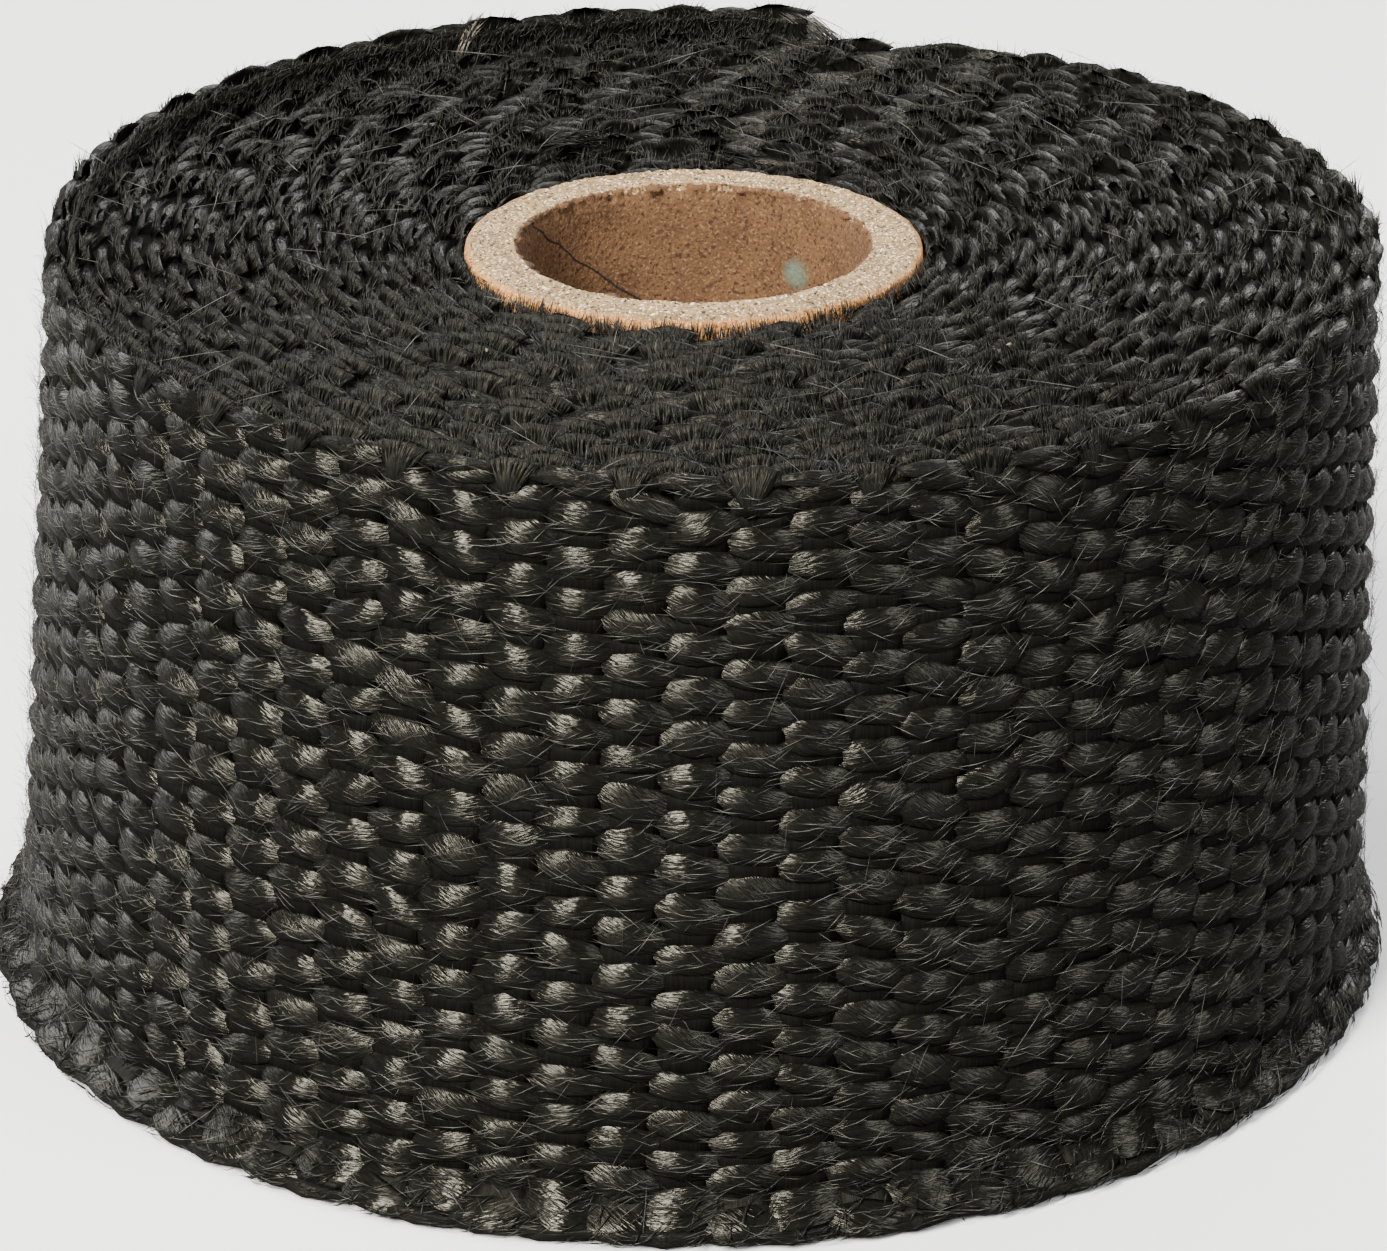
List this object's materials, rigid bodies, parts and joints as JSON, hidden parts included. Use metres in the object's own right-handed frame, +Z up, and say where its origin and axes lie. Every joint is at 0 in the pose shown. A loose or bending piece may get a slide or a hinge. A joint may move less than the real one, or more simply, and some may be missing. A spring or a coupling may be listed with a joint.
{
  "type": "exhaust heat wrap roll",
  "caption": "Roll of black woven glass-fibre exhaust heat wrap tape wound in a spiral on an open cardboard core, standing on its wound end.",
  "frame": {"origin": "centre of the roll's lower end, on the core's axis, on the floor that it stands on", "axes": "+Z up along the core's axis; -Y is the front that the picture shows; the cut end of the tape is at the back, towards +Y"},
  "size_m": [0.0958, 0.0958, 0.0519],
  "materials": {
    "woven_wrap": "black dyed woven glass fibre, satin filament floats, fuzzy edges",
    "cardboard": "matte kraft board, sawn ends, spiral seam in the bore"
  },
  "bodies": {
    "root": {"wrap_roll": "woven_wrap", "cardboard_core": "cardboard"}
  },
  "joints": []
}
